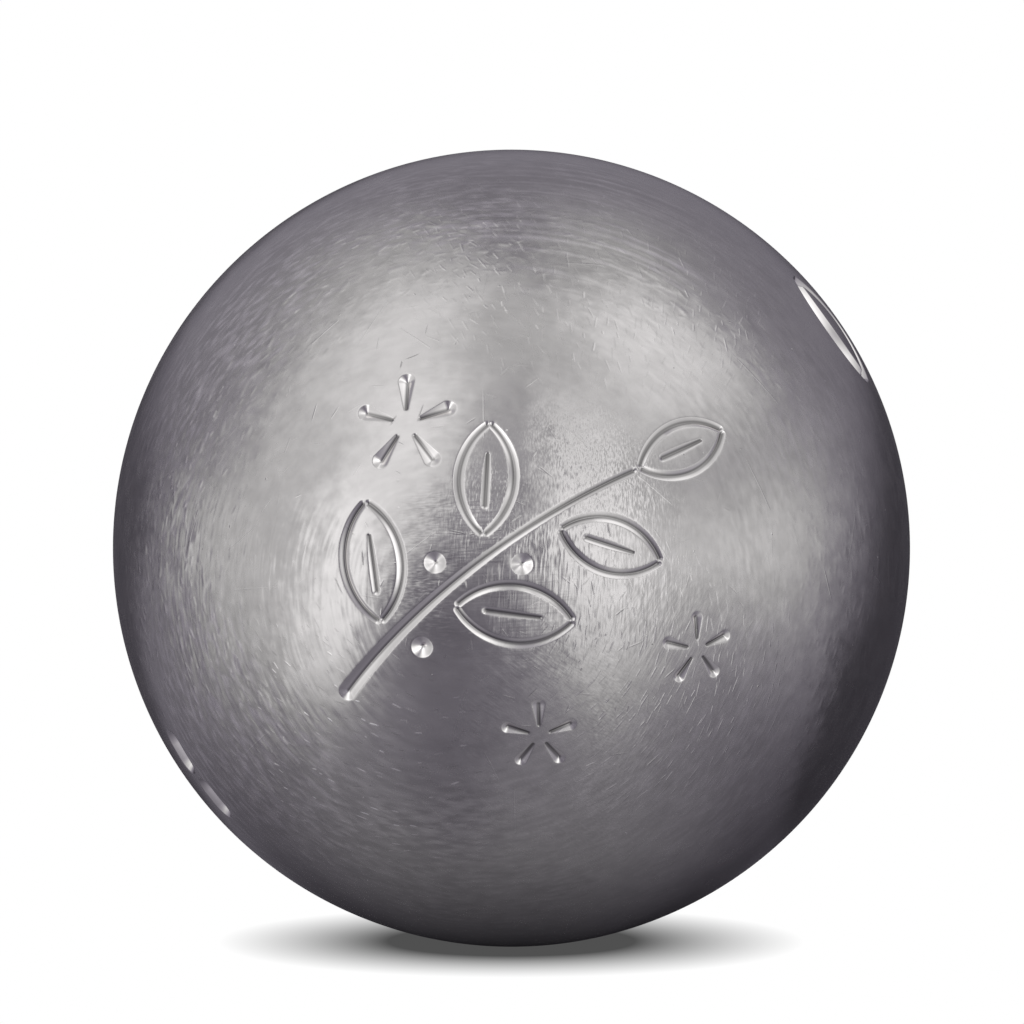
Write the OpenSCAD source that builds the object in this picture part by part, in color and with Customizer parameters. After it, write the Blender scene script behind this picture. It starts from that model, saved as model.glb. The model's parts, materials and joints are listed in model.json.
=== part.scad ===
// Petanque boule: a hollow steel ball made of two pressed half shells and the weld that joins them.
// The shells are turned about Y. The engraved half faces -Y, the plain half faces +Y,
// the weld lies in the XZ plane, and the origin is the centre of the ball. Millimetres.

/* [Ball] */
// Outside diameter of the finished ball
ball_d = 74; // [71:0.5:80]
// Thickness of the shell wall, which sets the weight: 6.15 gives about 700 g
wall_t = 6.15; // [5.6:0.05:8]

/* [Weld joint] */
// Thickness of the locating lip on the engraved shell
lip_t = 1.8; // [1.2:0.1:2.2]
// How far the lip reaches into the plain shell
lip_l = 2; // [1:0.1:3]
// Chamfer on the leading edge of the lip
lip_chamfer = 0.4; // [0.2:0.1:0.8]
// Clearance round the lip, and half the clearance past its end
lip_gap = 0.05; // [0.02:0.01:0.15]
// Radial height of the land where the two shells butt
land_t = 1; // [0.5:0.1:1.5]
// Half the opening angle of the weld groove
bevel_angle = 30; // [25:1:35]
// Width of the groove at its root
root_w = 0.8; // [0.4:0.1:1.2]

/* [Engraving cutter] */
// Half the included angle of the pointed cutter
cutter_angle = 45; // [35:1:50]
// Depth of the outlines half way along a line
line_depth = 0.45; // [0.35:0.05:0.6]
// Depth of the outlines at their two ends
end_depth = 0.35; // [0.25:0.05:0.5]

/* [Sprig] */
// Length of the stem, measured straight from end to end
stem_l = 33; // [30:0.5:35]
// How far the stem bows out from that straight line
stem_bow = 2.2; // [1:0.2:3.4]
// Depth of the stem at its foot, from where it tapers to its tip
stem_depth = 0.8; // [0.5:0.05:0.9]
// Length of the lowest leaf
leaf_l = 13; // [11:0.5:13.5]
// Width of the lowest leaf, between the middles of its two edges
leaf_w = 4.8; // [4:0.2:5.2]
// Depth of the round berry in an axil
berry_depth = 0.95; // [0.7:0.05:1.1]
// Distance from the stem to the middle of a berry
berry_reach = 2.8; // [2.4:0.1:3.2]

/* [Blossoms and side marks] */
// Distance across the large blossom
blossom_large_w = 9.6; // [8:0.2:10]
// Distance across the small blossoms
blossom_small_w = 7; // [5.6:0.2:7.4]
// Depth of a petal of the large blossom at its outer end
petal_depth = 0.75; // [0.55:0.05:0.9]
// Length of the leaf on the right side
side_leaf_l = 10.6; // [8:0.2:11]
// Width of that leaf, between the middles of its two edges
side_leaf_w = 5.2; // [4:0.2:5.4]
// Depth of its near edge half way along: its ends and its far edge are half as deep
side_leaf_depth = 1.2; // [0.8:0.1:1.3]
// Length of the two dashes on the left side, between the middles of their round ends
dash_l = 1.8; // [1.4:0.1:2]
// Depth of those dashes
dash_depth = 1.4; // [1:0.1:1.5]

/* [Hidden] */
$fn = 96;
ball_r = ball_d / 2;
hollow_r = ball_r - wall_t;
// Radii of the joint, from the inside out: lip, counterbore, root of the weld groove
lip_r = hollow_r + lip_t;
bore_r = lip_r + lip_gap;
root_r = bore_r + land_t;
// Height that every cut runs past the surface it opens
overrun = 1;
groove_top_r = ball_r + overrun;
groove_top_w = root_w + 2 * (groove_top_r - root_r) * tan(bevel_angle);

// Places on the engraved half are shares of the ball's diameter, right and up from its pole
stem_foot_share = [-0.203, -0.128];
stem_heading = 38;
// Leaves up the stem: share of its length, and side
leaf_shares = [[0.17, 1], [0.35, -1], [0.53, 1], [0.71, -1]];
leaf_spread = 50;
// How much shorter each next leaf is, and the leaf at the tip of the stem
leaf_taper_share = 0.04;
tip_leaf_share = 0.85;
// Clear distance from the stem to a leaf, as a share of the leaf, and the two ends of its vein
leaf_clear_share = 0.2;
vein_shares = [0.4, 0.78];
// How far apart the two edges of a leaf end, as a share of its width
leaf_open_share = 0.06;
berry_shares = [[0.2, -1], [0.385, 1], [0.565, -1]];
berry_spread = 58;
blossom_large_share = [-0.13, 0.205];
blossom_small_shares = [[0.034, -0.176], [0.23, -0.075]];
petals = 5;
blossom_turn = 20;
// A petal starts at this share of the blossom's radius, with this share of its outer depth
petal_root_share = 0.3;
petal_taper_share = 0.3;
// Side marks: degrees away from the pole, and degrees round from the right
side_leaf_place = [80.2, 35.5];
dash_places = [[70.7, -150], [69.6, -141.5]];
// Straight steps in the lines and in their round ends
line_steps = 8;
short_steps = 3;
end_steps = 5;

// Vectors and frames
function unit(v) = v / norm(v);
function turned(v, a) = [v[0] * cos(a) - v[1] * sin(a), v[0] * sin(a) + v[1] * cos(a)];
// A unit vector square to v
function square_to(v) = unit(cross(v, abs(v[0]) < abs(v[2]) ? [1, 0, 0] : [0, 0, 1]));
// Matrix whose X and Z axes are the two unit vectors given
function frame(x, z) = let (y = cross(z, x))
    [[x[0], y[0], z[0], 0], [x[1], y[1], z[1], 0], [x[2], y[2], z[2], 0], [0, 0, 0, 1]];

// The flat layout is wrapped on the ball: distances and directions from the pole stay true
function on_ball(p) = let (l = norm(p), a = l / ball_r * 180 / PI)
    l == 0 ? [0, -ball_r, 0] : ball_r * [sin(a) * p[0] / l, -cos(a), sin(a) * p[1] / l];
// A point of the side: distances round the pole and away from it, from a place in degrees
function on_side(place, round_l, away_l) = let (
    away = place[0] + away_l / ball_r * 180 / PI,
    turn = place[1] + round_l / (ball_r * sin(place[0])) * 180 / PI
) ball_r * [sin(away) * cos(turn), -cos(away), sin(away) * sin(turn)];
// Middle of the line from a to b that bows out to the left by bow, and its point at share t
function bowed(a, b, bow) = (a + b) / 2 + bow * turned(unit(b - a), 90);
function along(a, b, bow, t) = a + (b - a) * t + 4 * bow * t * (1 - t) * turned(unit(b - a), 90);
function heading(a, b, bow, t) = unit(b - a + 4 * bow * (1 - 2 * t) * turned(unit(b - a), 90));

// One engraved line: a pointed cutter, square to the surface, follows the circle of the ball
// through three points, and its depth swells or tapers through the three depths
module stroke(from, via, to, depths, steps) {
    axis = unit(cross(via - from, to - from));
    centre = (axis * from) * axis;
    across = norm(from - centre);
    x = unit(from - centre);
    y = cross(axis, x);
    far = unit(to - centre);
    turn = acos(max(-1, min(1, x * far)));
    sweep = y * far > 0 ? turn : 360 - turn;
    ups = [for (i = [0 : steps]) unit(centre
        + across * (x * cos(sweep * i / steps) + y * sin(sweep * i / steps)))];
    ahead = [for (i = [0 : steps]) y * cos(sweep * i / steps) - x * sin(sweep * i / steps)];
    depth = [for (i = [0 : steps]) let (t = i / steps) depths[0] * (1 - t) * (1 - 2 * t)
        + 4 * depths[1] * t * (1 - t) + depths[2] * t * (2 * t - 1)];
    half = [for (d = depth) (d + overrun) * tan(cutter_angle)];
    // Round the top: down the right side, round the far end, up the left side, round the near end
    rim = concat(
        [for (i = [0 : steps]) rim_point(ups[i], ahead[i], half[i], -90)],
        [for (k = [1 : end_steps - 1])
            rim_point(ups[steps], ahead[steps], half[steps], -90 + 180 * k / end_steps)],
        [for (i = [steps : -1 : 0]) rim_point(ups[i], ahead[i], half[i], 90)],
        [for (k = [1 : end_steps - 1])
            rim_point(ups[0], ahead[0], half[0], 90 + 180 * k / end_steps)]
    );
    tips = [for (i = [0 : steps]) (ball_r - depth[i]) * ups[i]];
    count = len(rim);
    // The tip that each rim point stands over
    under = concat(
        [for (i = [0 : steps]) i], [for (k = [1 : end_steps - 1]) steps],
        [for (i = [steps : -1 : 0]) i], [for (k = [1 : end_steps - 1]) 0]
    );
    left = function(i) 2 * steps + end_steps - i;
    faces = concat(
        [for (i = [0 : count - 1]) let (j = (i + 1) % count) [i, j, count + under[i]]],
        [for (i = [0 : count - 1]) let (j = (i + 1) % count)
            if (under[i] != under[j]) [j, count + under[j], count + under[i]]],
        [for (i = [0 : steps - 1]) [left(i + 1), i + 1, i]],
        [for (i = [0 : steps - 1]) [left(i), left(i + 1), i]],
        [[for (k = [end_steps : -1 : 0]) steps + k]],
        [concat([0], [for (k = [end_steps - 1 : -1 : 0]) left(0) + k])]
    );
    polyhedron(concat(rim, tips), faces);
}

// A point of the cutter's rim, turned by degrees from straight ahead about the upright
function rim_point(up, ahead, half, degrees) = (ball_r + overrun) * up
    + half * (ahead * cos(degrees) + cross(up, ahead) * sin(degrees));

// A line of the flat layout from a to b that bows out to the left
module layout_stroke(a, b, bow, depths, steps) {
    stroke(on_ball(a), on_ball(bowed(a, b, bow)), on_ball(b), depths, steps);
}

// The cutter standing still, square to the surface
module dot(place, depth) {
    up = unit(on_ball(place));
    multmatrix(frame(square_to(up), up)) translate([0, 0, ball_r - depth])
        cylinder(h = depth + overrun, r1 = 0, r2 = (depth + overrun) * tan(cutter_angle));
}

// A leaf: two bowed edges and a vein, along a direction from its foot on the stem
module leaf(foot, direction, l, w) {
    start = foot + l * leaf_clear_share * direction;
    tip = foot + l * direction;
    apart = leaf_open_share * w * turned(direction, 90);
    outline = [end_depth, line_depth, end_depth];
    vein = [end_depth, end_depth, end_depth / 2];
    layout_stroke(start + apart, tip + apart, w / 2, outline, line_steps);
    layout_stroke(tip - apart, start - apart, w / 2, outline, line_steps);
    layout_stroke(foot + l * vein_shares[0] * direction, foot + l * vein_shares[1] * direction,
        0, vein, short_steps);
}

module sprig() {
    foot = ball_d * stem_foot_share;
    tip = foot + stem_l * turned([1, 0], stem_heading);
    layout_stroke(foot, tip, stem_bow, [stem_depth, line_depth, end_depth], line_steps);
    for (i = [0 : len(leaf_shares) - 1]) {
        t = leaf_shares[i][0];
        l = 1 - i * leaf_taper_share;
        leaf(along(foot, tip, stem_bow, t),
            turned(heading(foot, tip, stem_bow, t), leaf_shares[i][1] * leaf_spread),
            leaf_l * l, leaf_w * l);
    }
    way = heading(foot, tip, stem_bow, 1);
    leaf(tip - leaf_l * leaf_clear_share / 2 * way, way, leaf_l * tip_leaf_share,
        leaf_w * tip_leaf_share);
    for (b = berry_shares) {
        from = along(foot, tip, stem_bow, b[0]);
        way = turned(heading(foot, tip, stem_bow, b[0]), b[1] * berry_spread);
        dot(from + berry_reach * way, berry_depth);
    }
}

// Petals that widen and deepen outwards
module blossom(place, w) {
    deep = petal_depth * w / blossom_large_w;
    for (i = [0 : petals - 1]) {
        way = turned([1, 0], blossom_turn + i * 360 / petals);
        outer = place + (w / 2 - deep * tan(cutter_angle)) * way;
        inner = place + petal_root_share * w / 2 * way;
        layout_stroke(inner, outer, 0,
            deep * [petal_taper_share, (1 + petal_taper_share) / 2, 1], short_steps);
    }
}

// The two edges of a leaf that lies round the side, and the dashes across from it
module side_marks() {
    for (side = [-1, 1]) {
        apart = side * leaf_open_share * side_leaf_w;
        shallow = side_leaf_depth / 2;
        deep = side < 0 ? side_leaf_depth : shallow;
        stroke(
            on_side(side_leaf_place, -side_leaf_l / 2, apart),
            on_side(side_leaf_place, 0, side * side_leaf_w / 2),
            on_side(side_leaf_place, side_leaf_l / 2, apart),
            [shallow, deep, shallow], line_steps
        );
    }
    for (p = dash_places) {
        stroke(on_side(p, -dash_l / 2, 0), on_side(p, 0, 0), on_side(p, dash_l / 2, 0),
            [dash_depth, dash_depth, dash_depth], short_steps);
    }
}

module engraving() {
    sprig();
    blossom(ball_d * blossom_large_share, blossom_large_w);
    for (s = blossom_small_shares) blossom(ball_d * s, blossom_small_w);
    side_marks();
}

// Half of the wall, as the profile that is turned about the shell's own axis
module wall_profile() {
    intersection() {
        difference() {
            circle(r = ball_r);
            circle(r = hollow_r);
        }
        square([ball_r, ball_r]);
    }
}

// The lip runs up inside the wall, so that the two are one piece
module lip_profile() {
    polygon([
        [hollow_r, lip_t], [hollow_r, -lip_l], [lip_r - lip_chamfer, -lip_l],
        [lip_r, -lip_l + lip_chamfer], [lip_r, lip_t]
    ]);
}

// What one shell leaves out for its half of the weld groove
module bevel_profile() {
    polygon([
        [root_r, -overrun], [root_r, root_w / 2],
        [groove_top_r, groove_top_w / 2], [groove_top_r, -overrun]
    ]);
}

module engraved_shell() {
    color("lightsteelblue") difference() {
        rotate([90, 0, 0]) rotate_extrude() difference() {
            union() {
                wall_profile();
                lip_profile();
            }
            bevel_profile();
        }
        engraving();
    }
}

module plain_shell() {
    color("silver") rotate([-90, 0, 0]) rotate_extrude() difference() {
        wall_profile();
        bevel_profile();
        square([bore_r, lip_l + 2 * lip_gap]);
    }
}

// The weld fills the groove and is ground flush with the ball
module weld_bead() {
    color("gray") rotate([90, 0, 0]) rotate_extrude() intersection() {
        circle(r = ball_r);
        polygon([
            [root_r, -root_w / 2], [groove_top_r, -groove_top_w / 2],
            [groove_top_r, groove_top_w / 2], [root_r, root_w / 2]
        ]);
    }
}

engraved_shell();
plain_shell();
weld_bead();
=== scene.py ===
import json
from math import cos, pi, radians, sin, sqrt, tan

import bpy
import numpy as np
from bpy.props import FloatProperty, FloatVectorProperty, PointerProperty
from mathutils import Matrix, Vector
from mathutils.geometry import delaunay_2d_cdt


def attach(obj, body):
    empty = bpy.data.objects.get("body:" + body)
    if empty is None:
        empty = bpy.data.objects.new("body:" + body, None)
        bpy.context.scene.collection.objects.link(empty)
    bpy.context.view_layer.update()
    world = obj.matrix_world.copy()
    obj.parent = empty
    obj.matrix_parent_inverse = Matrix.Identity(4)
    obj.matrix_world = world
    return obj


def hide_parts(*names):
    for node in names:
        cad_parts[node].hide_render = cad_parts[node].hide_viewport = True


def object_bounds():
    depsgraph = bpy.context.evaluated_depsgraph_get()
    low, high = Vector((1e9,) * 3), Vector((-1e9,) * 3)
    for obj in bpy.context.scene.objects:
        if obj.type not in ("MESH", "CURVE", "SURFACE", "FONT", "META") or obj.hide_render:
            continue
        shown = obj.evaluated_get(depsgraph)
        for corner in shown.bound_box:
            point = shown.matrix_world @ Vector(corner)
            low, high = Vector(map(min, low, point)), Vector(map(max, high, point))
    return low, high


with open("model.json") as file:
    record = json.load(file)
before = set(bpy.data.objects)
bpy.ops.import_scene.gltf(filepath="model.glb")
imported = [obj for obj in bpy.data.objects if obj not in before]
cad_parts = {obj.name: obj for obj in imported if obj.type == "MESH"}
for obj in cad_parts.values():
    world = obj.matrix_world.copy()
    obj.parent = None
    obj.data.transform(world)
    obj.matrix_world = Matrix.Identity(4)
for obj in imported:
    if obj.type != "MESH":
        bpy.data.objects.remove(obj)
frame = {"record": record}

bl_info = {
    "name": "Petanque boule",
    "version": (1, 0, 0),
    "blender": (4, 5, 0),
    "location": "3D View > Sidebar > Boule",
    "description": "Makes a petanque boule with an engraved sprig, and the studio round it",
    "category": "Add Mesh",
}

CAD_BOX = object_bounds()
BALL_D = round(-2 * CAD_BOX[0].y, 5)
STEEL = tuple(m["base_color"] for m in frame["record"]["materials"])
MM = 0.001


# Sizes and colours that a user would change

def length(name, description, millimetres):
    return FloatProperty(name=name, description=description, default=millimetres * MM, min=0, unit="LENGTH",
                         precision=5)


def share(name, description, default, most=1):
    return FloatProperty(name=name, description=description, default=default, min=0, max=most,
                         subtype="FACTOR")


def turn(name, description, degrees):
    return FloatProperty(name=name, description=description, default=radians(degrees), unit="ROTATION")


def colour(name, description, default):
    return FloatVectorProperty(name=name, description=description, default=default, min=0, max=1, size=3,
                               subtype="COLOR")


class BOULE_PG_ball(bpy.types.PropertyGroup):
    """Sizes of the shells and of the joint between them"""
    ball_d: length("Ball diameter", "Outside diameter of the finished ball", BALL_D / MM)
    wall_t: length("Wall", "Thickness of the shell wall", 6.15)
    lip_t: length("Lip thickness", "Thickness of the locating lip on the engraved shell", 1.8)
    lip_l: length("Lip length", "How far the lip reaches into the plain shell", 2)
    lip_chamfer: length("Lip chamfer", "Chamfer on the leading edge of the lip", 0.4)
    lip_gap: length("Lip clearance", "Clearance round the lip, and half the clearance past its end", 0.05)
    land_t: length("Land", "Radial height of the land where the two shells butt", 1)
    bevel_angle: turn("Bevel", "Half the opening angle of the weld groove", 30)
    root_w: length("Root width", "Width of the weld groove at its root", 0.8)


class BOULE_PG_engraving(bpy.types.PropertyGroup):
    """Sizes of the cutter and of the engraved sprig, blossoms and side marks"""
    cutter_angle: turn("Cutter angle", "Half the included angle of the pointed cutter", 45)
    tip_r: length("Cutter tip", "Roundness of the cutter's tip", 0.03)
    shoulder_r: length("Shoulder", "Roundness of the edge of a groove, from brushing over it", 0.03)
    flat: share("Flatness", "Depth of the picture's grooves, as a share of what the cutter's angle gives",
                0.6)
    line_depth: length("Line depth", "Depth of the outlines half way along a line", 0.45)
    end_depth: length("End depth", "Depth of the outlines at their two ends", 0.35)
    stem_l: length("Stem length", "Length of the stem, measured straight from end to end", 33)
    stem_bow: length("Stem bow", "How far the stem bows out from that straight line", 2.2)
    stem_depth: length("Stem depth", "Depth of the stem at its foot", 0.8)
    leaf_l: length("Leaf length", "Length of the lowest leaf", 13)
    leaf_w: length("Leaf width", "Width of the lowest leaf, between the middles of its two edges", 4.8)
    berry_depth: length("Berry depth", "Depth of the round berry in an axil", 0.95)
    berry_reach: length("Berry reach", "Distance from the stem to the middle of a berry", 2.8)
    blossom_large_w: length("Large blossom", "Distance across the large blossom", 9.6)
    blossom_small_w: length("Small blossoms", "Distance across the small blossoms", 7)
    petal_depth: length("Petal depth", "Depth of a petal of the large blossom at its outer end", 0.75)
    side_leaf_l: length("Side leaf length", "Length of the leaf on the right side", 10.6)
    side_leaf_w: length("Side leaf width", "Width of that leaf, between the middles of its two edges", 5.2)
    side_leaf_depth: length("Side leaf depth", "Depth of that leaf's near edge, and twice the far one's", 1.2)
    dash_l: length("Side dashes", "Length of the left side's dashes, between the middles of their ends", 1.8)
    dash_depth: length("Dash depth", "Depth of those dashes", 1.4)


class BOULE_PG_finish(bpy.types.PropertyGroup):
    """Colour and surface of the steel"""
    shell_colour: colour("Shell colour", "Colour of the steel of the shells", STEEL[0])
    weld_colour: colour("Weld colour", "Colour of the ground weld", STEEL[1])
    roughness: share("Roughness", "Roughness of the satin steel between its scratches", 0.24)
    scratches: share("Scratches", "How strongly the fine scratches show", 0.5, 2)
    clouding: share("Clouding", "How much the brushed steel varies in brightness from place to place", 0.5, 2)


class BOULE_PG_studio(bpy.types.PropertyGroup):
    """Camera and light"""
    camera_distance: length("Camera distance", "Distance from the centre of the ball to the camera", 600)
    camera_height: turn("Camera height", "Angle of the camera above the horizon", 6.3)
    camera_tilt: turn("Camera tilt", "How far above the centre of the ball the camera aims", 0.32)
    field: turn("Field of view", "Angle across the picture", 9.075)
    tent_r: length("Tent radius", "Radius of the dim light tent round the ball", 1500)
    tent_strength: share("Tent strength", "Brightness of the light tent and its panels", 1, 4)
    floor_colour: colour("Floor colour", "Colour of the floor and of everything behind the ball", (1, 1, 1))


GROUPS = {
    "boule_ball": BOULE_PG_ball,
    "boule_engraving": BOULE_PG_engraving,
    "boule_finish": BOULE_PG_finish,
    "boule_studio": BOULE_PG_studio,
}


# Where the engraving lies. Places on the engraved half are shares of the ball's diameter, right and up from
# its pole, and angles are in degrees.
STEM_FOOT, STEM_HEADING = (-0.203, -0.128), 38
LARGE_BLOSSOM, SMALL_BLOSSOMS = (-0.13, 0.205), ((0.034, -0.176), (0.23, -0.075))
# Leaves and berries: how far along the stem they grow, and on which side of it, which is 1 on its left
LEAVES = ((0.17, 1), (0.35, -1), (0.53, 1), (0.71, -1))
BERRIES = ((0.2, -1), (0.385, 1), (0.565, -1))
# Angles between the stem and the ways to them
LEAF_SPREAD, BERRY_SPREAD = 50, 58
# Each leaf loses this share of the lowest one's size, and the leaf at the stem's tip has this share of it
LEAF_TAPER, TIP_LEAF = 0.04, 0.85
# Where the edges of a leaf start, and where its vein starts and ends, as shares of its length
LEAF_CLEAR, VEIN = 0.2, (0.4, 0.78)
# Half the gap between the ends of a leaf's edges, as a share of its width
LEAF_OPEN = 0.06
# Petals: how many, the direction of the first, where they start, as a share of the blossom's radius, and how
# deep they are there, as a share of their full depth
PETALS, BLOSSOM_TURN, PETAL_ROOT, PETAL_TAPER = 5, 20, 0.3, 0.3
# Marks on the sides: degrees from the pole, and degrees round it from the right
SIDE_LEAF_PLACE, DASH_PLACES = (80.2, 35.5), ((70.7, -150), (69.6, -141.5))

# Fineness of the meshes: points round the ball, steps along its profiles, of its plain surface and along a
# groove, spokes round a groove's end, and the sharpest angle that looks smooth
AROUND = 360
HOLLOW_STEP, BALL_STEP, WELD_STEP = radians(2), radians(1), radians(0.6)
LATTICE_STEP, ROW_STEP = 0.75 * MM, 0.16 * MM
SPOKES = 15
SHARP = radians(50)
# Points across a groove: near its middle in radii of the cutter's tip, on its wall in shares of half its
# width, and about its edge in radii of its shoulder
MIDDLE_WAYS, WALL_WAYS, EDGE_WAYS = (0, 1.2), (0.33, 0.62), (-1.4, -0.5, 0.5, 1.4, 3.2, 7)
# How far points of the plain surface stay from a groove, in radii of its shoulder. Then, in steps of that
# surface, how far they and a groove's points stay from the rim, and how near to it a point is the rim's own.
GROOVE_CLEAR, LATTICE_CLEAR, ROW_CLEAR, RIM_NEAR = 9, 0.6, 0.3, 0.05
# Points this near to one another are one, and the triangulation's own limit, both in millimetres
SAME_PLACE, SAME_POINT = 0.02, 1e-6


# Shapes

def unit(v):
    return v / np.linalg.norm(v, axis=-1, keepdims=True)


def turned(v, degrees):
    """A flat vector turned to the left."""
    c, s = cos(radians(degrees)), sin(radians(degrees))
    return np.array((v[0] * c - v[1] * s, v[0] * s + v[1] * c))


def on_ball(p, r):
    """The flat layout wrapped on the ball, as unit vectors. A point at distance l from the pole goes to the
    angle a = l / r from it in the same direction: (sin a * right / l, -cos a, sin a * up / l)."""
    a = np.linalg.norm(p, axis=-1) / r
    s = np.sinc(a / pi) / r
    return np.stack((p[..., 0] * s, -np.cos(a), p[..., 1] * s), -1)


def on_side(place, sideways, away, r):
    """A unit vector to a point of the side: a place in degrees from the pole and round from the right, and
    from there the distances round the pole and away from it."""
    a = radians(place[0]) + away / r
    b = radians(place[1]) + sideways / (r * sin(radians(place[0])))
    return np.array((sin(a) * cos(b), -cos(a), sin(a) * sin(b)))


def laid_flat(u, r):
    """The inverse of on_ball: the angle from the pole times r, in the direction of (x, z)."""
    wide = np.hypot(u[..., 0], u[..., 2])
    l = r * np.arctan2(wide, -u[..., 1]) / np.maximum(wide, 1e-12)
    return np.stack((u[..., 0] * l, u[..., 2] * l), -1)


def circle(count):
    """Points at equal angles round a circle of radius 1."""
    a = np.linspace(0, 2 * pi, count, endpoint=False)
    return np.stack((np.cos(a), np.sin(a)), -1)


def swung(place, way, angle):
    """Unit vectors at these angles from a place, towards a way that is square to it."""
    return place * np.cos(angle)[..., None] + way * np.sin(angle)[..., None]


def apart(u, v):
    """The angle between unit vectors, from the distance between their tips."""
    return 2 * np.arcsin(np.clip(np.linalg.norm(u - v, axis=-1) / 2, 0, 1))


def ways_across(half, e):
    """Distances from its middle at which a groove has points, for grooves of these half widths."""
    half = half[:, None]
    middle = 0 * half + np.array(MIDDLE_WAYS) * e.tip_r
    return np.concatenate((middle, half * WALL_WAYS, half + np.array(EDGE_WAYS) * e.shoulder_r), 1)


class Line:
    """A V groove that a pointed cutter leaves along the circle of the ball through three points. Its depth
    at the share t runs through three depths: d0 (1 - t)(1 - 2 t) + 4 d1 t (1 - t) + d2 t (2 t - 1). A flat
    groove is as wide, and has the share flat of that depth."""

    def __init__(self, start, middle, end, depths, flat=1.0):
        self.axis = unit(np.cross(middle - start, end - start))
        self.off = self.axis @ start
        self.across = np.sqrt(1 - self.off ** 2)
        self.x = unit(start - self.off * self.axis)
        self.y = np.cross(self.axis, self.x)
        far = end - self.off * self.axis
        self.sweep = np.arctan2(far @ self.y, far @ self.x) % (2 * pi)
        self.depths, self.flat = depths, flat

    def at(self, t):
        """The place on the unit ball at the share t, and the direction the line runs there."""
        a = t * self.sweep
        return self.off * self.axis + self.across * swung(self.x, self.y, a), swung(self.y, -self.x, a)

    def depth(self, t):
        d0, d1, d2 = self.depths
        return d0 * (1 - t) * (1 - 2 * t) + 4 * d1 * t * (1 - t) + d2 * t * (2 * t - 1)

    def cut(self, u, r, cutter):
        """Depth at points of the ball: the line's depth at its nearest place, less the distance from there
        over the tangent of the cutter's half angle. Outside the groove it is less than nothing. Then that
        distance itself."""
        half = self.sweep / 2
        a = (np.arctan2(u @ self.y, u @ self.x) - half + pi) % (2 * pi) - pi + half
        t = np.clip(a / self.sweep, 0, 1)
        away = r * apart(u, self.at(t)[0])
        return self.flat * (self.depth(t) - cutter(away)), away

    def rows(self, r, e, step):
        """Points on a grid of the share along the line and the way across it, from the valley to the plain
        surface. At both ends the rows fan out round the end."""
        t = np.linspace(0, 1, max(4, int(np.ceil(self.sweep * self.across * r / step)) + 1))
        place, ahead = self.at(t)
        side = np.cross(place, ahead)
        across = ways_across(self.depth(t) * tan(e.cutter_angle), e)
        across = np.concatenate((-across[:, :0:-1], across), 1) / r
        found = [swung(place[:, None], side[:, None], across).reshape(-1, 3)]
        for i, way in ((0, -1), (-1, 1)):
            spokes = swung(way * ahead[i], side[i], np.linspace(-pi / 2, pi / 2, SPOKES)[1:-1])
            out = across[i, across.shape[1] // 2 + 1:]
            found.append(swung(place[i], spokes[:, None], out).reshape(-1, 3))
        return np.concatenate(found)


class Round:
    """The cone that the pointed cutter leaves where it stands still."""

    def __init__(self, place, deep, flat=1.0):
        self.place, self.deep, self.flat = place, deep, flat

    def cut(self, u, r, cutter):
        away = r * apart(u, self.place)
        return self.flat * (self.deep - cutter(away)), away

    def rows(self, r, e, step):
        """Circles about the place, at the ways across the cone."""
        x = unit(np.cross(self.place, (0, 0, 1)))
        y = np.cross(self.place, x)
        far = ways_across(np.array((self.deep * tan(e.cutter_angle),)), e)[0][:, None] / r
        a = np.linspace(0, 2 * pi, int(2 * pi * self.deep / step), endpoint=False)[None]
        return swung(self.place, swung(x, y, a), far).reshape(-1, 3)


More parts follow.
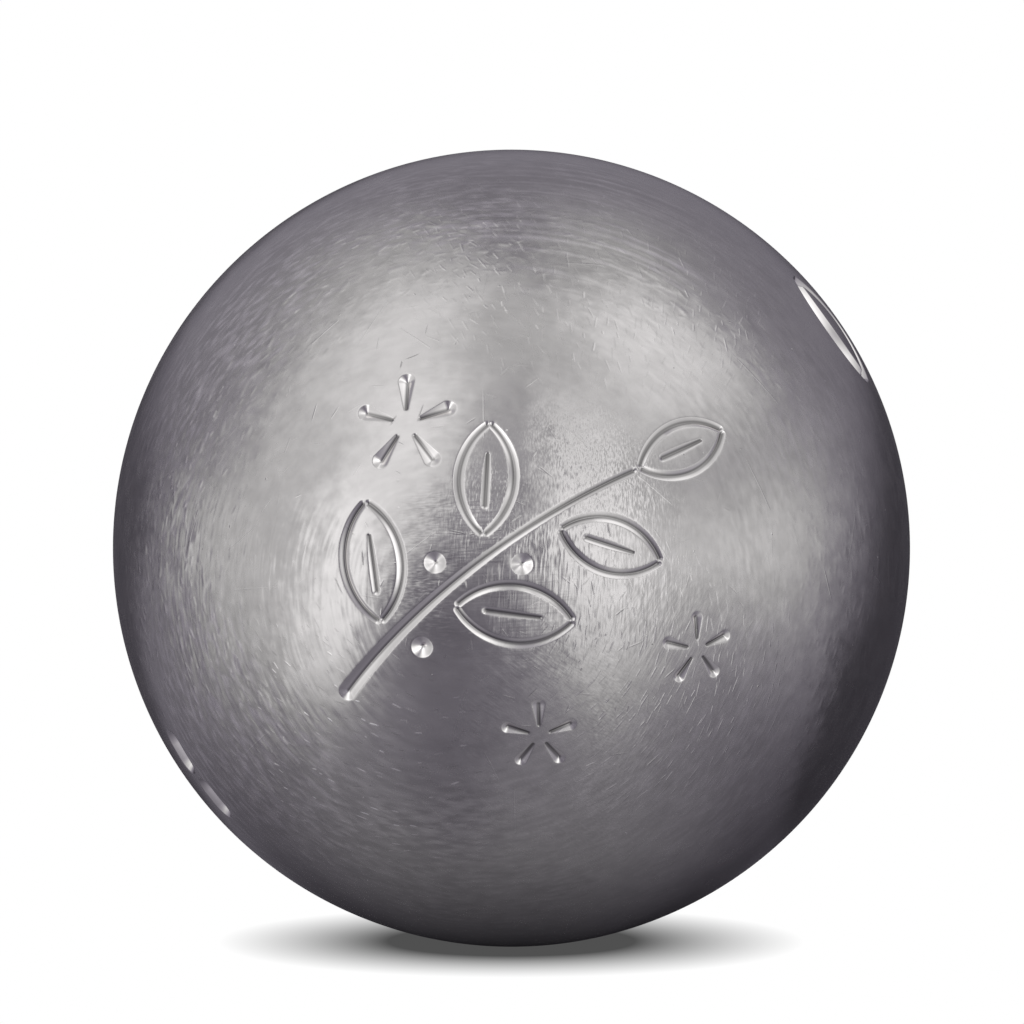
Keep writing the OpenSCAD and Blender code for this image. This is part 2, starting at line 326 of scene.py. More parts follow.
def engraving(e, r):
    """All the lines and round marks, laid out flat and wrapped on the ball."""
    marks = []

    def line(a, b, bow, depths):
        """A line from a to b that bows out to the left by bow."""
        middle = (a + b) / 2 + bow * turned(unit(b - a), 90)
        marks.append(Line(on_ball(a, r), on_ball(middle, r), on_ball(b, r), depths, e.flat))

    def leaf(foot, way, l, w):
        """Two bowed edges and a vein, along a direction from the leaf's foot on the stem."""
        start, tip = foot + l * LEAF_CLEAR * way, foot + l * way
        gap = LEAF_OPEN * w * turned(way, 90)
        edge, vein = (e.end_depth, e.line_depth, e.end_depth), (e.end_depth, e.end_depth, e.end_depth / 2)
        line(start + gap, tip + gap, w / 2, edge)
        line(tip - gap, start - gap, w / 2, edge)
        line(foot + l * VEIN[0] * way, foot + l * VEIN[1] * way, 0, vein)

    def blossom(place, w):
        """Petals that widen and deepen outwards."""
        deep = e.petal_depth * w / e.blossom_large_w
        for i in range(PETALS):
            way = turned((1, 0), BLOSSOM_TURN + i * 360 / PETALS)
            inner = place + PETAL_ROOT * w / 2 * way
            outer = place + (w / 2 - deep * tan(e.cutter_angle)) * way
            line(inner, outer, 0, (deep * PETAL_TAPER, deep * (1 + PETAL_TAPER) / 2, deep))

    d = 2 * r
    foot = d * np.array(STEM_FOOT)
    tip = foot + e.stem_l * turned((1, 0), STEM_HEADING)
    left = turned(unit(tip - foot), 90)

    def stem(t):
        """A place on the stem's bow and the stem's heading there."""
        return (foot + (tip - foot) * t + 4 * e.stem_bow * t * (1 - t) * left,
                unit(tip - foot + 4 * e.stem_bow * (1 - 2 * t) * left))

    line(foot, tip, e.stem_bow, (e.stem_depth, e.line_depth, e.end_depth))
    for i, (t, side) in enumerate(LEAVES):
        place, way = stem(t)
        scale = 1 - i * LEAF_TAPER
        leaf(place, turned(way, side * LEAF_SPREAD), e.leaf_l * scale, e.leaf_w * scale)
    way = stem(1)[1]
    leaf(tip - e.leaf_l * LEAF_CLEAR / 2 * way, way, e.leaf_l * TIP_LEAF, e.leaf_w * TIP_LEAF)
    for t, side in BERRIES:
        place, way = stem(t)
        berry = place + e.berry_reach * turned(way, side * BERRY_SPREAD)
        marks.append(Round(on_ball(berry, r), e.berry_depth, e.flat))
    blossom(d * np.array(LARGE_BLOSSOM), e.blossom_large_w)
    for place in SMALL_BLOSSOMS:
        blossom(d * np.array(place), e.blossom_small_w)

    def side_line(place, l, ends, middle, depths):
        """A line of length l round the pole, whose ends and middle lie away from the place."""
        points = (on_side(place, s * l / 2, away, r) for s, away in ((-1, ends), (0, middle), (1, ends)))
        marks.append(Line(*points, depths))

    shallow, gap = e.side_leaf_depth / 2, LEAF_OPEN * e.side_leaf_w
    side_line(SIDE_LEAF_PLACE, e.side_leaf_l, -gap, -e.side_leaf_w / 2, (shallow, e.side_leaf_depth, shallow))
    side_line(SIDE_LEAF_PLACE, e.side_leaf_l, gap, e.side_leaf_w / 2, (shallow,) * 3)
    for place in DASH_PLACES:
        side_line(place, e.dash_l, 0, 0, (e.dash_depth,) * 3)
    return marks


def arc(r, low, high, step):
    """Radius and height along the circle of radius r, for heights from low to high, at equal angles."""
    first, last = np.arcsin(low / r), np.arcsin(high / r)
    a = np.linspace(first, last, max(2, int(abs(last - first) / step)))
    return np.stack((r * np.cos(a), r * np.sin(a)), 1)


def joint_sizes(b):
    """Radii of the ball and of its joint from the inside out, then the radius and the height at which the
    bevel meets the ball: the point of the line height = root_w / 2 + (radius - root) tan(bevel) that lies on
    the circle of the ball."""
    r = b.ball_d / 2
    hollow = r - b.wall_t
    lip = hollow + b.lip_t
    bore = lip + b.lip_gap
    root = bore + b.land_t
    k, c = tan(b.bevel_angle), b.root_w / 2 - root * tan(b.bevel_angle)
    rim_r = (-k * c + sqrt((1 + k * k) * r * r - c * c)) / (1 + k * k)
    return r, hollow, lip, bore, root, rim_r, k * rim_r + c


def carried_round(profile):
    """A profile of radius and height carried round the axis: (radius cos a, height, radius sin a)."""
    (c, s), r, y = circle(AROUND).T, profile[:, :1], profile[:, 1:]
    return np.stack((r * c, y + 0 * c, r * s), -1)


def numbered(rows, first=0):
    """Numbers of the points of these rows, from the first."""
    return first + np.arange(rows[..., 0].size).reshape(rows.shape[:2])


def bands(rows):
    """Four-sided faces between rows of vertex numbers."""
    a, b = rows[:-1], rows[1:]
    return np.stack((np.roll(a, -1, 1), a, b, np.roll(b, -1, 1)), -1).reshape(-1, 4)


def fan(row, pole):
    """Triangles between a closed row of vertex numbers and one more vertex."""
    return np.stack((np.roll(row, -1), row, 0 * row + pole), -1)


def outwards(points, faces):
    """The faces turned the other way round where the volume under them comes out as less than nothing."""
    volume = sum(np.einsum("ij,ij->", points[f[:, 0]], np.cross(points[f[:, i]], points[f[:, i + 1]]))
                 for f in faces for i in range(1, f.shape[1] - 1))
    return faces if volume > 0 else [f[:, ::-1] for f in faces]


def triangulated(p):
    """Flat points and the triangles between them, all turned the same way."""
    flat, _, faces = delaunay_2d_cdt([Vector(q) for q in p], [], [], 0, SAME_POINT)[:3]
    flat, faces = np.array(flat), np.array(faces)
    sides = flat[faces[:, 1:]] - flat[faces[:, :1]]
    area = sides[:, 0, 0] * sides[:, 1, 1] - sides[:, 0, 1] * sides[:, 1, 0]
    return flat, np.where(area[:, None] > 0, faces, faces[:, ::-1])


def engraved_surface(b, e):
    """The outside of the engraved half: points, triangles, depths of cut, distances from the middle of the
    deepest mark, and the numbers of its rim's points.
    The surface is a function of two flat parameters: r less the rounded depth of the deepest mark there,
    times the unit vector that the parameters wrap to. Rounding by the shoulder s turns a depth d into half of
    d + root(d d + s s)."""
    r, *_, rim_r, rim_y = joint_sizes(b)
    marks = engraving(e, r)

    def cutter(away):
        """Height of the round-tipped cutter at a distance from its middle."""
        return (np.sqrt(away ** 2 + e.tip_r ** 2) - e.tip_r) / tan(e.cutter_angle)

    def cut(u):
        """Depth of the deepest mark, and the distance from its middle."""
        cuts, aways = np.swapaxes([m.cut(u, r, cutter) for m in marks], 0, 1)
        return cuts.max(0), np.take_along_axis(aways, cuts.argmax(0)[None], 0)[0]

    rim = r * np.arctan2(rim_r, rim_y)
    edge = rim * circle(AROUND)
    step = LATTICE_STEP
    reach = int(2 * rim / (step * sqrt(3))) + 1
    i, j = np.meshgrid(np.arange(-reach, reach + 1), np.arange(-reach, reach + 1))
    lattice = np.stack(((i + j % 2 / 2) * step, j * step * sqrt(3) / 2), -1).reshape(-1, 2)
    lattice = lattice[np.linalg.norm(lattice, axis=1) < rim - LATTICE_CLEAR * step]
    lattice = lattice[cut(on_ball(lattice, r))[0] < -GROOVE_CLEAR * e.shoulder_r]
    rows = laid_flat(np.concatenate([m.rows(r, e, ROW_STEP) for m in marks]), r)
    rows = rows[np.linalg.norm(rows, axis=1) < rim - ROW_CLEAR * step]
    p = np.concatenate((edge, rows, lattice)) / MM
    first = np.unique(np.round(p / SAME_PLACE).astype(int), axis=0, return_index=True)[1]
    flat, faces = triangulated(p[np.sort(first)])
    u = on_ball(flat * MM, r)
    depth, away = cut(u)
    low = r - (depth + np.sqrt(depth ** 2 + e.shoulder_r ** 2)) / 2
    on_rim = np.flatnonzero(np.linalg.norm(flat, axis=1) * MM > rim - RIM_NEAR * step)
    on_rim = on_rim[np.argsort(np.arctan2(flat[on_rim, 1], flat[on_rim, 0]) % (2 * pi - 1e-6))]
    if len(on_rim) != AROUND:
        raise RuntimeError(f"the rim has {len(on_rim)} points")
    low[on_rim] = r
    return u * low[:, None], faces, depth, away, on_rim


def engraved_shell_shape(b, e):
    """The engraved surface, and from its rim the profile of bevel, land, lip and hollow carried round to the
    inner pole. Heights run towards the plain half, so the hollow's are below nothing."""
    points, faces, depth, away, rim = engraved_surface(b, e)
    _, hollow, lip, _, root, _, _ = joint_sizes(b)
    profile = np.concatenate((
        ((root, -b.root_w / 2), (root, 0), (lip, 0)),
        ((lip, b.lip_l - b.lip_chamfer), (lip - b.lip_chamfer, b.lip_l), (hollow, b.lip_l)),
        arc(hollow, 0, -hollow, HOLLOW_STEP)[:-1],
    ))
    rows = carried_round(profile)
    numbers = np.concatenate((rim[None], numbered(rows, len(points))))
    points = np.concatenate((points, rows.reshape(-1, 3), ((0, -hollow, 0),)))
    plain = np.ones(len(points) - len(depth))
    held = {
        "cut": np.concatenate((depth / MM, -plain)).clip(0, 1),
        "away": np.concatenate((away / MM, plain)).clip(0, 1),
    }
    return points, outwards(points, [faces, bands(numbers), fan(numbers[-1], len(points) - 1)]), held


def plain_shell_shape(b):
    """A profile carried round: the ball's arc from the pole to the bevel, bevel, land, counterbore, and the
    hollow's arc to the inner pole."""
    r, hollow, _, bore, root, _, rim_y = joint_sizes(b)
    bore_l = b.lip_l + 2 * b.lip_gap
    profile = np.concatenate((
        arc(r, r, rim_y, BALL_STEP)[1:],
        ((root, b.root_w / 2), (root, 0), (bore, 0), (bore, bore_l)),
        arc(hollow, bore_l, hollow, HOLLOW_STEP)[:-1],
    ))
    rows = carried_round(profile)
    numbers = numbered(rows, 2)
    points = np.concatenate((((0, r, 0), (0, hollow, 0)), rows.reshape(-1, 3)))
    return points, outwards(points, [bands(numbers), fan(numbers[0], 0)[:, ::-1], fan(numbers[-1], 1)])


def weld_shape(b):
    """A closed profile carried round: across the root, up one bevel, over the ball's arc and down the other
    bevel."""
    r, *_, root, _, rim_y = joint_sizes(b)
    outside = arc(r, -rim_y, rim_y, WELD_STEP)
    rows = carried_round(np.concatenate((((root, -b.root_w / 2),), outside, ((root, b.root_w / 2),))))
    numbers = numbered(rows)
    points = rows.reshape(-1, 3)
    return points, outwards(points, [bands(np.concatenate((numbers, numbers[:1])))])


def add_mesh(name, points, faces, attributes=None):
    """A mesh object at the origin from arrays of points and faces, with a number or a colour for each point
    where one is given."""
    mesh = bpy.data.meshes.new(name)
    mesh.from_pydata(points.tolist(), [], [face for group in faces for face in group.tolist()])
    for key, values in (attributes or {}).items():
        kind, field = (("FLOAT", "value"), ("FLOAT_VECTOR", "vector"))[values.ndim - 1]
        mesh.attributes.new(key, kind, "POINT").data.foreach_set(field, values.ravel().astype(np.float32))
    mesh.validate()
    obj = bpy.data.objects.new(name, mesh)
    bpy.context.scene.collection.objects.link(obj)
    return obj


def add_piece(name, node, slot, material, points, faces, attributes=None):
    """A steel piece that stands for a CAD node: smooth over its surface and sharp at its edges."""
    obj = add_mesh(name, points, faces, attributes)
    obj.data.shade_smooth()
    obj.data.set_sharp_from_angle(angle=SHARP)
    obj.data.materials.append(material)
    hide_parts(node)
    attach(obj, "root")


# Materials

class Wiring:
    """Adds nodes to a tree. An input is a plain value or another node's output."""

    def __init__(self, tree):
        self.tree = tree

    def new(self, kind, inputs=None, **settings):
        made = self.tree.nodes.new(kind)
        for key, value in settings.items():
            setattr(made, key, value)
        for key, value in (inputs or {}).items():
            self.put(made.inputs[key], value)
        return made

    def put(self, socket, value):
        if isinstance(value, bpy.types.NodeSocket):
            self.tree.links.new(value, socket)
        else:
            socket.default_value = value

    def number(self, operation, *values):
        return self.new("ShaderNodeMath", dict(enumerate(values)), operation=operation).outputs[0]

    def plus(self, a, b):
        return self.number("ADD", a, b)

    def less(self, a, b):
        return self.number("SUBTRACT", a, b)

    def times(self, a, b):
        return self.number("MULTIPLY", a, b)

    def vector(self, operation, *values):
        made = self.new("ShaderNodeVectorMath", dict(enumerate(values)), operation=operation)
        return made.outputs["Value" if operation == "DOT_PRODUCT" else "Vector"]

    def scaled(self, way, much):
        return self.new("ShaderNodeVectorMath", {0: way, "Scale": much}, operation="SCALE").outputs[0]

    def noise(self, place, scale, detail=3, output="Fac"):
        inputs = {"Vector": place, "Scale": scale, "Detail": detail}
        return self.new("ShaderNodeTexNoise", inputs).outputs[output]

    def held(self, name, output="Fac"):
        """What the mesh's points hold under this name."""
        return self.new("ShaderNodeAttribute", attribute_name=name).outputs[output]

    def ramp(self, value, low, high, to_low=0.0, to_high=1.0, smooth=True):
        """The value from low to high becomes to_low to to_high, and stops there."""
        return self.new("ShaderNodeMapRange", {0: value, 1: low, 2: high, 3: to_low, 4: to_high},
                        interpolation_type="SMOOTHSTEP" if smooth else "LINEAR").outputs[0]


def cleared(owner):
    """Wiring for the empty node tree of a new material or world."""
    owner.use_nodes = True
    owner.node_tree.nodes.clear()
    return Wiring(owner.node_tree)


# What each layer of marks is given, and the number that turns one chance number into another
MARK_INPUTS = ("Place", "Cells", "Offset", "Length", "Width", "Lean", "Spread", "Share")
NEW_CHANCE = 37.0


def scratch_group():
    """A node group of scratches: each cell of a Voronoi texture holds one, about the cell's point. With a
    and b the distances from the point along and across the scratch, over its length and width, its mark is
    exp(-a a a a - b b). It runs round the Y axis, turned by the lean and a chance angle, and a cell has one
    where its chance number is under the share. Another chance number, made from that one, comes with it.
    Its tilt is b times the mark, across the scratch: the slope of the two walls of a fine groove."""
    tree = bpy.data.node_groups.new("scratches", "ShaderNodeTree")
    for names, side in ((MARK_INPUTS, "INPUT"), (("Mark", "Chance", "Tilt"), "OUTPUT")):
        for name in names:
            kind = "Vector" if name in ("Place", "Offset", "Tilt") else "Float"
            tree.interface.new_socket(name, in_out=side, socket_type="NodeSocket" + kind)
    w = Wiring(tree)
    given = w.new("NodeGroupInput").outputs
    place = given["Place"]
    spot = w.vector("ADD", w.scaled(place, given["Cells"]), given["Offset"])
    cell = w.new("ShaderNodeTexVoronoi", {"Vector": spot, "Scale": 1.0}, feature="F1").outputs
    centre = cell["Position"]
    away = w.scaled(w.vector("SUBTRACT", spot, centre), w.number("DIVIDE", 1.0, given["Cells"]))
    up = w.vector("NORMALIZE", place)
    home = w.vector("SUBTRACT", centre, given["Offset"])
    ahead = w.vector("NORMALIZE", w.vector("CROSS_PRODUCT", (0.0, 1.0, 0.0), home))
    side = w.vector("CROSS_PRODUCT", up, ahead)
    chances = w.new("ShaderNodeSeparateColor", {0: cell["Color"]}).outputs
    angle = w.plus(given["Lean"], w.times(w.less(chances[0], 0.5), given["Spread"]))
    c, s = w.number("COSINE", angle), w.number("SINE", angle)
    along, across = w.vector("DOT_PRODUCT", away, ahead), w.vector("DOT_PRODUCT", away, side)
    long = w.times(given["Length"], w.plus(chances[1], 0.5))
    a = w.number("DIVIDE", w.plus(w.times(along, c), w.times(across, s)), long)
    b = w.number("DIVIDE", w.less(w.times(across, c), w.times(along, s)), given["Width"])
    a = w.number("POWER", w.number("ABSOLUTE", a), 4.0)
    mark = w.number("EXPONENT", w.times(w.plus(a, w.times(b, b)), -1.0))
    mark = w.times(mark, w.number("LESS_THAN", chances[2], given["Share"]))
    way = w.vector("SUBTRACT", w.scaled(side, c), w.scaled(ahead, s))
    chance, tilt = w.number("FRACT", w.times(chances[2], NEW_CHANCE)), w.scaled(way, w.times(b, mark))
    w.new("NodeGroupOutput", {"Mark": mark, "Chance": chance, "Tilt": tilt})
    return tree


# Parts of the ball that a layer of marks keeps to: a direction, the cosines of the angles from it between
# which the layer changes, and its strength at each, which is 0 and 1 where none is given
FRONT = ((0.2, -0.975, -0.05), 0.86, 0.98)
STEM_SIDE = ((0.16, -0.985, 0.14), 0.93, 0.99)
MIDDLE = ((-0.09, -0.993, 0.03), 0.955, 0.995)
LOW_RIGHT = ((0.38, -0.89, -0.25), 0.9, 0.985)
LOW = ((0.2, -0.9, -0.38), 0.9, 0.985)
BELOW_LEFT = ((-0.4, -0.81, -0.42), 0.88, 0.98)
LOW_LEFT = ((-0.63, -0.76, -0.17), 0.88, 0.985)
CROWN = ((0.2, -0.46, 0.865), 0.93, 0.985)
AROUND_FRONT = ((-0.1, -0.97, 0.2), 0.68, 0.9, 1.0, 0.1)
LEFT = ((-0.85, -0.4, 0.33), 0.0, 0.75, 0.3, 1.0)
UPPER = ((-0.2, -0.93, 0.3), 0.86, 0.97)
UPPER_RIM = ((0.2, -0.5, 0.84), 0.82, 0.93)
SIDES = (AROUND_FRONT, LEFT)

# Layers of strokes, scratches and pits: cells per metre, length and width in millimetres, lean and chance
# turn in radians, share of the cells that hold one, how steep their walls are, how far each brightens the
# steel, which is partly its own tone and partly a painted glint, and the parts they keep to
SCRATCHES = (
    (1300, 0.3, 0.14, 0, 1.2, 0.9, 0.08, 0.08, SIDES),
    (900, 0.42, 0.17, 0, 1, 0.9, 0.16, 0.14, SIDES),
    (500, 0.75, 0.27, 0, 1, 0.7, 0.16, 0.12, SIDES),
    (900, 0.55, 0.055, 0.22, 0.4, 0.9, 0.5, 0.2, (LOW_RIGHT,)),
    (700, 0.7, 0.05, 0.22, 0.4, 0.9, 0.5, 0.2, (LOW_RIGHT,)),
    (700, 0.5, 0.055, 0, 1.8, 0.4, 0.4, -0.1, (FRONT,)),
    (850, 0.5, 0.08, -1.15, 0.7, 0.9, 0.2, 0.15, (UPPER_RIM,)),
    (420, 0.55, 0.05, 0, 2.4, 0.4, 0.5, -0.1, (UPPER,)),
    (700, 0.34, 0.065, 0.5, 0.5, 0.8, 0.3, 0.85, (BELOW_LEFT,)),
    (210, 2.2, 0.05, 0, 6.28, 0.25, 0.35, 0.08, ()),
    (420, 0.08, 0.05, 0, 6.28, 0.05, 1.2, -0.5, ()),
    (310, 0.09, 0.07, 0, 6.28, 0.06, 0.6, 0.5, ()),
)

# Brushing by hand: direction of the hairlines, with none for round the Y axis, how many there are in a metre
# across and along them, how steep they are, how far they brighten or dull the steel, partly as its own tone
# and partly as painted glints, how many patches there are in a metre and their offset, and the parts that
# they keep to
HAIRLINES = (
    (None, 2000, 160, 0.1, 0.2, 45, 0, (AROUND_FRONT,)),
    (None, 1300, 650, 0.6, 2.3, 90, 71, SIDES),
    (None, 1500, 60, 0.3, 2.2, 90, 13, (CROWN,)),
    (None, 3200, 320, 0.7, 0.5, 90, 53, (LOW_LEFT,)),
    ((0.05, 0, 1), 8000, 480, 0.6, 0.2, 110, 3, (STEM_SIDE,)),
    ((1, 0, 0.05), 7000, 480, 0.6, 0.2, 110, 11, (MIDDLE,)),
    ((0.5, 0, 0.87), 6500, 480, 0.25, 0.12, 110, 23, (LOW_RIGHT,)),
    ((0.8, 0, -0.6), 6500, 480, 0.4, 0.2, 110, 31, (LOW,)),
)

# A mark is up to this many times as steep as its layer, and its brightness, partly its own tone and partly a
# painted glint, is its layer's gain times a number between these two
STEEPEST, GAINS = 2, (-0.5, 1.5)
# The unevenness of the whole surface: bumps in a metre, and how far they tilt it
UNEVEN, UNEVEN_TILT = 800.0, 0.14
# Clouds of duller and brighter steel: two sizes, as clouds in a metre, how much stronger the finer ones are,
# and how far they change the tone and the roughness
CLOUDS, FINER, CLOUD_TONE, CLOUD_ROUGHNESS = (60.0, 400.0), 1.6, 0.3, 0.12
# How much rougher a mark is than the steel round it
MARK_ROUGHNESS = 0.06
# Marks darken the steel no further than about this, and that limit is softened by the second number
DARKEST, DARKEST_SOFT = -0.14, 0.2
# How much of the marks the walls of the engraving lose, the share of the roughness that they keep at least,
# and the brightness of the weld beside that of the shells
WALL_CLEAN, WALL_ROUGHNESS, WELD_TONE = 0.85, 0.4, 0.97
# Ramps: two values, and what each becomes. Patches of hairlines go by their noise, marks and their brightness
# by the distance from the joint in radii, and in millimetres the inside of a groove and the painted highlight
# on its walls go by the depth of cut, and the painted shade along its bottom by the distance from its middle.
PATCHES = (0.35, 0.6, 0.35, 1.0)
MARKS_FADE, BRIGHT_FADE = (0.25, 0.62, 0.15, 1.0), (0.15, 0.6, 0.4, 1.0)
GROOVE, WALL_HIGHLIGHT, GROOVE_SHADE = (0.0, 0.03), (0.1, 0.45, 0.38, 0.75), (0.06, 0.3, 1.0, 0.0)


class Brushing:
    """Adds up what layers of marks do to the steel: how far they tilt its surface, brighten it, partly as its
    own tone and partly as painted glints, and roughen it."""

    def __init__(self, w, much):
        self.w, self.much = w, much
        self.place = w.new("ShaderNodeTexCoord").outputs["Object"]
        self.up = w.vector("NORMALIZE", self.place)
        x, y, z = w.new("ShaderNodeSeparateXYZ", {0: self.place}).outputs
        off_axis = w.number("SQRT", w.plus(w.times(x, x), w.times(z, z)))
        self.ringed = w.new("ShaderNodeCombineXYZ", {0: off_axis, 1: y}).outputs[0]
        self.tilt, self.bright, self.worn = None, 0.0, 0.0

    def add_tilt(self, way, much):
        """Tilts the surface further, along a vector."""
        tilt = self.w.scaled(way, much)
        self.tilt = tilt if self.tilt is None else self.w.vector("ADD", self.tilt, tilt)

    def strength(self, parts):
        """Strength here of a layer that keeps to these parts."""
        w, found = self.w, 1.0
        for middle, *ends in parts:
            found = w.times(found, w.ramp(w.vector("DOT_PRODUCT", self.up, middle), *ends))
        return found

    def add_marks(self, offset, cells, long, wide, lean, spread, portion, steep, gain, parts):
        """Single marks: their chance number, squared, sets how steep and how bright each is. Their brightness
        is partly the steel's own tone and partly a painted glint.
        """
        w = self.w
        group = bpy.data.node_groups.get("scratches") or scratch_group()
        given = (self.place, cells, offset, long * MM, wide * MM, lean, spread, portion)
        layer = w.new("ShaderNodeGroup", dict(zip(MARK_INPUTS, given)), node_tree=group)
        mark, chance = layer.outputs["Mark"], layer.outputs["Chance"]
        here = self.strength(parts)
        mark, chance = w.times(mark, here), w.times(w.times(chance, chance), here)
        steepness = w.ramp(chance, 0.0, 1.0, 0.0, STEEPEST * steep * self.much, False)
        self.add_tilt(layer.outputs["Tilt"], steepness)
        # Brightness of each mark: partly its own tone, partly a painted glint
        brightness = w.ramp(chance, 0.0, 1.0, *(each * gain * self.much for each in GAINS), False)
        self.bright = w.plus(self.bright, w.times(mark, brightness))
        self.worn = w.plus(self.worn, mark)

    def add_hairlines(self, along, fine, coarse, steep, gain, patches, offset, parts):
        """Hairlines in patches: noise that is fine across their direction and coarse along it."""
        w, place = self.w, self.place
        if along is None:
            squeezed = w.vector("ADD", w.scaled(self.ringed, fine), w.scaled(place, coarse))
            along = w.vector("NORMALIZE", w.vector("CROSS_PRODUCT", (0.0, 1.0, 0.0), place))
        else:
            lengthwise = w.times(w.vector("DOT_PRODUCT", place, along), coarse - fine)
            squeezed = w.vector("ADD", w.scaled(place, fine), w.scaled(along, lengthwise))
        line = w.less(w.noise(squeezed, 1.0, 1), 0.5)
        patch = w.ramp(w.noise(w.vector("ADD", place, (offset, 0.0, 0.0)), patches, 1), *PATCHES)
        line = w.times(line, w.times(patch, self.strength(parts)))
        self.bright = w.plus(self.bright, w.times(line, gain * self.much))
        self.add_tilt(w.vector("CROSS_PRODUCT", self.up, along), w.times(line, steep * self.much))

    def add_unevenness(self):
        """Soft bumps all over, which bend what the steel mirrors."""
        bumps = self.w.noise(self.place, UNEVEN, 2, "Color")
        self.add_tilt(self.w.vector("SUBTRACT", bumps, (0.5, 0.5, 0.5)), UNEVEN_TILT)


def satin_steel(name, base, finish, tone=1.0):
    """Steel brushed by hand: patches of hairlines that run different ways, a mottling of strokes, single
    scratches and pits, whose brightening is partly the steel's own tone and partly painted glints, an
    unevenness that bends what it mirrors, and clouds of duller and brighter metal.
    All but the clouds are fainter towards the joint. The walls of the engraving have fewer marks and a
    painted highlight, and the bottoms of its grooves a painted shade."""
    material = bpy.data.materials.new(name)
    w = cleared(material)
    marks = Brushing(w, 2 * finish.scratches)
    for i, layer in enumerate(SCRATCHES):
        # The offset keeps two layers from sharing their cells
        marks.add_marks((7.3 * i, 3.1, 5.7 * i), *layer)
    for layer in HAIRLINES:
        marks.add_hairlines(*layer)
    marks.add_unevenness()
    cut = w.held("cut")
    # The inside of a groove, a painted highlight on its walls, and a painted shade along its bottom
    inside, deep, groove_shade = w.ramp(cut, *GROOVE), w.ramp(cut, *WALL_HIGHLIGHT), w.ramp(w.held("away"), *GROOVE_SHADE)
    outside = w.less(1.0, w.times(inside, WALL_CLEAN))
    from_joint = w.number("ABSOLUTE", w.new("ShaderNodeSeparateXYZ", {0: marks.up}).outputs[1])
    worked = w.ramp(from_joint, *MARKS_FADE)
    bright = w.number("SMOOTH_MAX", marks.bright, DARKEST, DARKEST_SOFT)
    bright = w.times(bright, w.ramp(from_joint, *BRIGHT_FADE))
    worn = w.times(marks.worn, worked)
    tilt = w.scaled(marks.tilt, w.times(worked, outside))
    tilt = w.new("ShaderNodeVectorTransform", {0: tilt}, vector_type="VECTOR", convert_from="OBJECT",
                 convert_to="WORLD").outputs[0]
    normal = w.vector("NORMALIZE", w.vector("ADD", w.new("ShaderNodeNewGeometry").outputs["Normal"], tilt))
    coarse, fine = (w.less(w.noise(marks.place, size), 0.5) for size in CLOUDS)
    clouds = w.plus(coarse, w.times(fine, FINER))
    level = w.times(w.plus(w.times(clouds, CLOUD_TONE * finish.clouding), bright), outside)
    # Inside the grooves: the painted highlight on the walls, less the painted shade along the bottoms
    level = w.plus(level, w.times(inside, w.less(deep, groove_shade)))
    tint = w.scaled(tuple(base), w.times(w.plus(level, 1.0), tone))
    rough = w.plus(w.times(clouds, CLOUD_ROUGHNESS * finish.clouding), w.times(worn, MARK_ROUGHNESS))
    rough = w.plus(w.times(rough, outside), w.times(outside, finish.roughness * (1 - WALL_ROUGHNESS)))
    rough = w.plus(rough, finish.roughness * WALL_ROUGHNESS)
    shader = w.new("ShaderNodeBsdfPrincipled",
                   {"Base Color": tint, "Metallic": 1.0, "Roughness": rough, "Normal": normal})
    w.new("ShaderNodeOutputMaterial", {"Surface": shader.outputs[0]})
    return material


def shell_steel(scene):
    """The steel of both half shells, made once."""
    name, finish = "satin_shell_steel", scene.boule_finish
    return bpy.data.materials.get(name) or satin_steel(name, finish.shell_colour, finish)


# The studio

# Soft panels of the light tent: azimuth and height of the middle, half width, half height and softness in
# degrees, and brightness, which is less than nothing for a dark flag. Azimuth 0 is the camera's side,
# positive to the right.
PANELS = (
    (-67, 29, 23, 54, 6, 0.55),
    (-46, -4, 5, 20, 4.5, 1.7),
    (-31, 31.5, 15.5, 23, 6, 1.2),
    (111, 69, 55, 10.5, 14, 0.97),
    (22, 13, 6, 34, 7.2, 1.95),
    (68, 3, 39, 2, 13, 1.9),
    (-49, 83, 101, 37, 11.5, 0.68),
    (-15, -42, 9, 11, 2, -0.1),
    (70, 50, 28.5, 19, 4, 0.76),
    (-95, 2, 13, 10, 2, 0.32),
    (163, -16, 71, 25, 3, -0.22),
    (-1, -52.5, 61, 21.5, 14, 0.52),
    (-171, 6, 7, 5, 2, -0.19),
    (-171, -16, 7, 5, 2, -0.06),
)
# The tent between them: a level, and how much lighter it is above, in front, on the right and at both poles
DIM = (0.12, -0.013, -0.141, -0.074, -0.062)
# The least light, the light up to which it has the dim tint, and how much more of it has the panels' tint
LEAST_LIGHT, DIM_LIGHT, LIT_STEP = 0.05, 0.1, 0.5
PANEL_TINT, DIM_TINT = (1.0, 0.998, 1.004), (1.06, 0.98, 1.2)
# How many times less deep than wide the shadow painted on the floor is, the ramp from hidden sky to the
# floor's painted brightness, and what the floor and the world give to everything but the camera and mirrored
# rays
SHADOW_FLAT, FLOOR_SHADE, FLOOR_GREY, WORLD_LIGHT = 1.41, (0.52, 0.87, 1, 0.08), (0.8, 0.8, 0.8, 1), 0.6
WHITE = (1, 1, 1, 1)
# Grids of the floor and the tent: points round, rings, rows, radius of the floor's second ring, its reach in
# tent radii, angle of the tent's lowest row, and a hair's breadth that keeps surfaces and points apart
SPOKES_ROUND, RINGS, TENT_ROWS = 180, 101, 90
SECOND_RING, FLOOR_REACH, TENT_LOW, HAIR = 0.002, 1.9, -0.03, 0.0001
# The camera's sensor in millimetres, and how far right of the ball's middle it aims, in metres
SENSOR, AIM_RIGHT = 36, 0.00005


